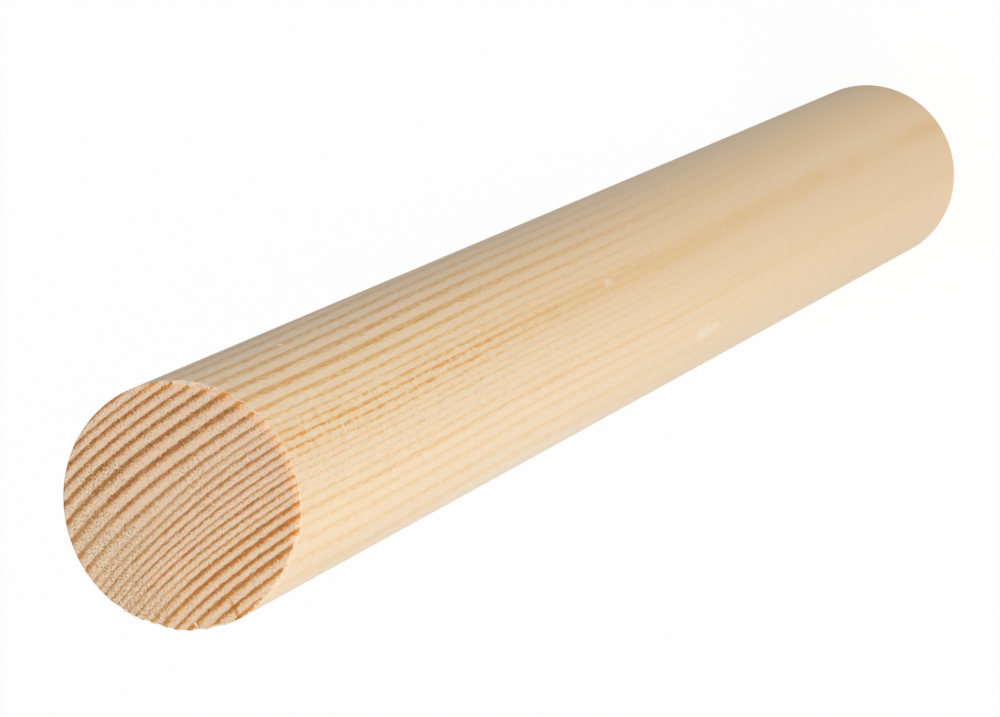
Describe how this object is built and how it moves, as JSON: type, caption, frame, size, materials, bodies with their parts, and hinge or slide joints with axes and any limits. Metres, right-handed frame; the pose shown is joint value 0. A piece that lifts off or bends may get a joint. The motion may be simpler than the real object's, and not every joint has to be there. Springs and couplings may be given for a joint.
{
  "type": "wooden dowel rod",
  "caption": "Round softwood dowel rod with a sanded foot and a rough-sawn end, used as a pin, a roller or stock to cut from.",
  "frame": {"origin": "centre of the flat foot, on the rod's axis", "axes": "+Z along the rod's axis from the foot to the sawn end; the growth rings' pith lies towards -X"},
  "size_m": [0.028, 0.028, 0.3],
  "materials": {
    "pine": "bare sanded pine, growth rings straight along the side and cut across at the sawn end"
  },
  "bodies": {
    "root": {"dowel_rod": "pine"}
  },
  "joints": []
}
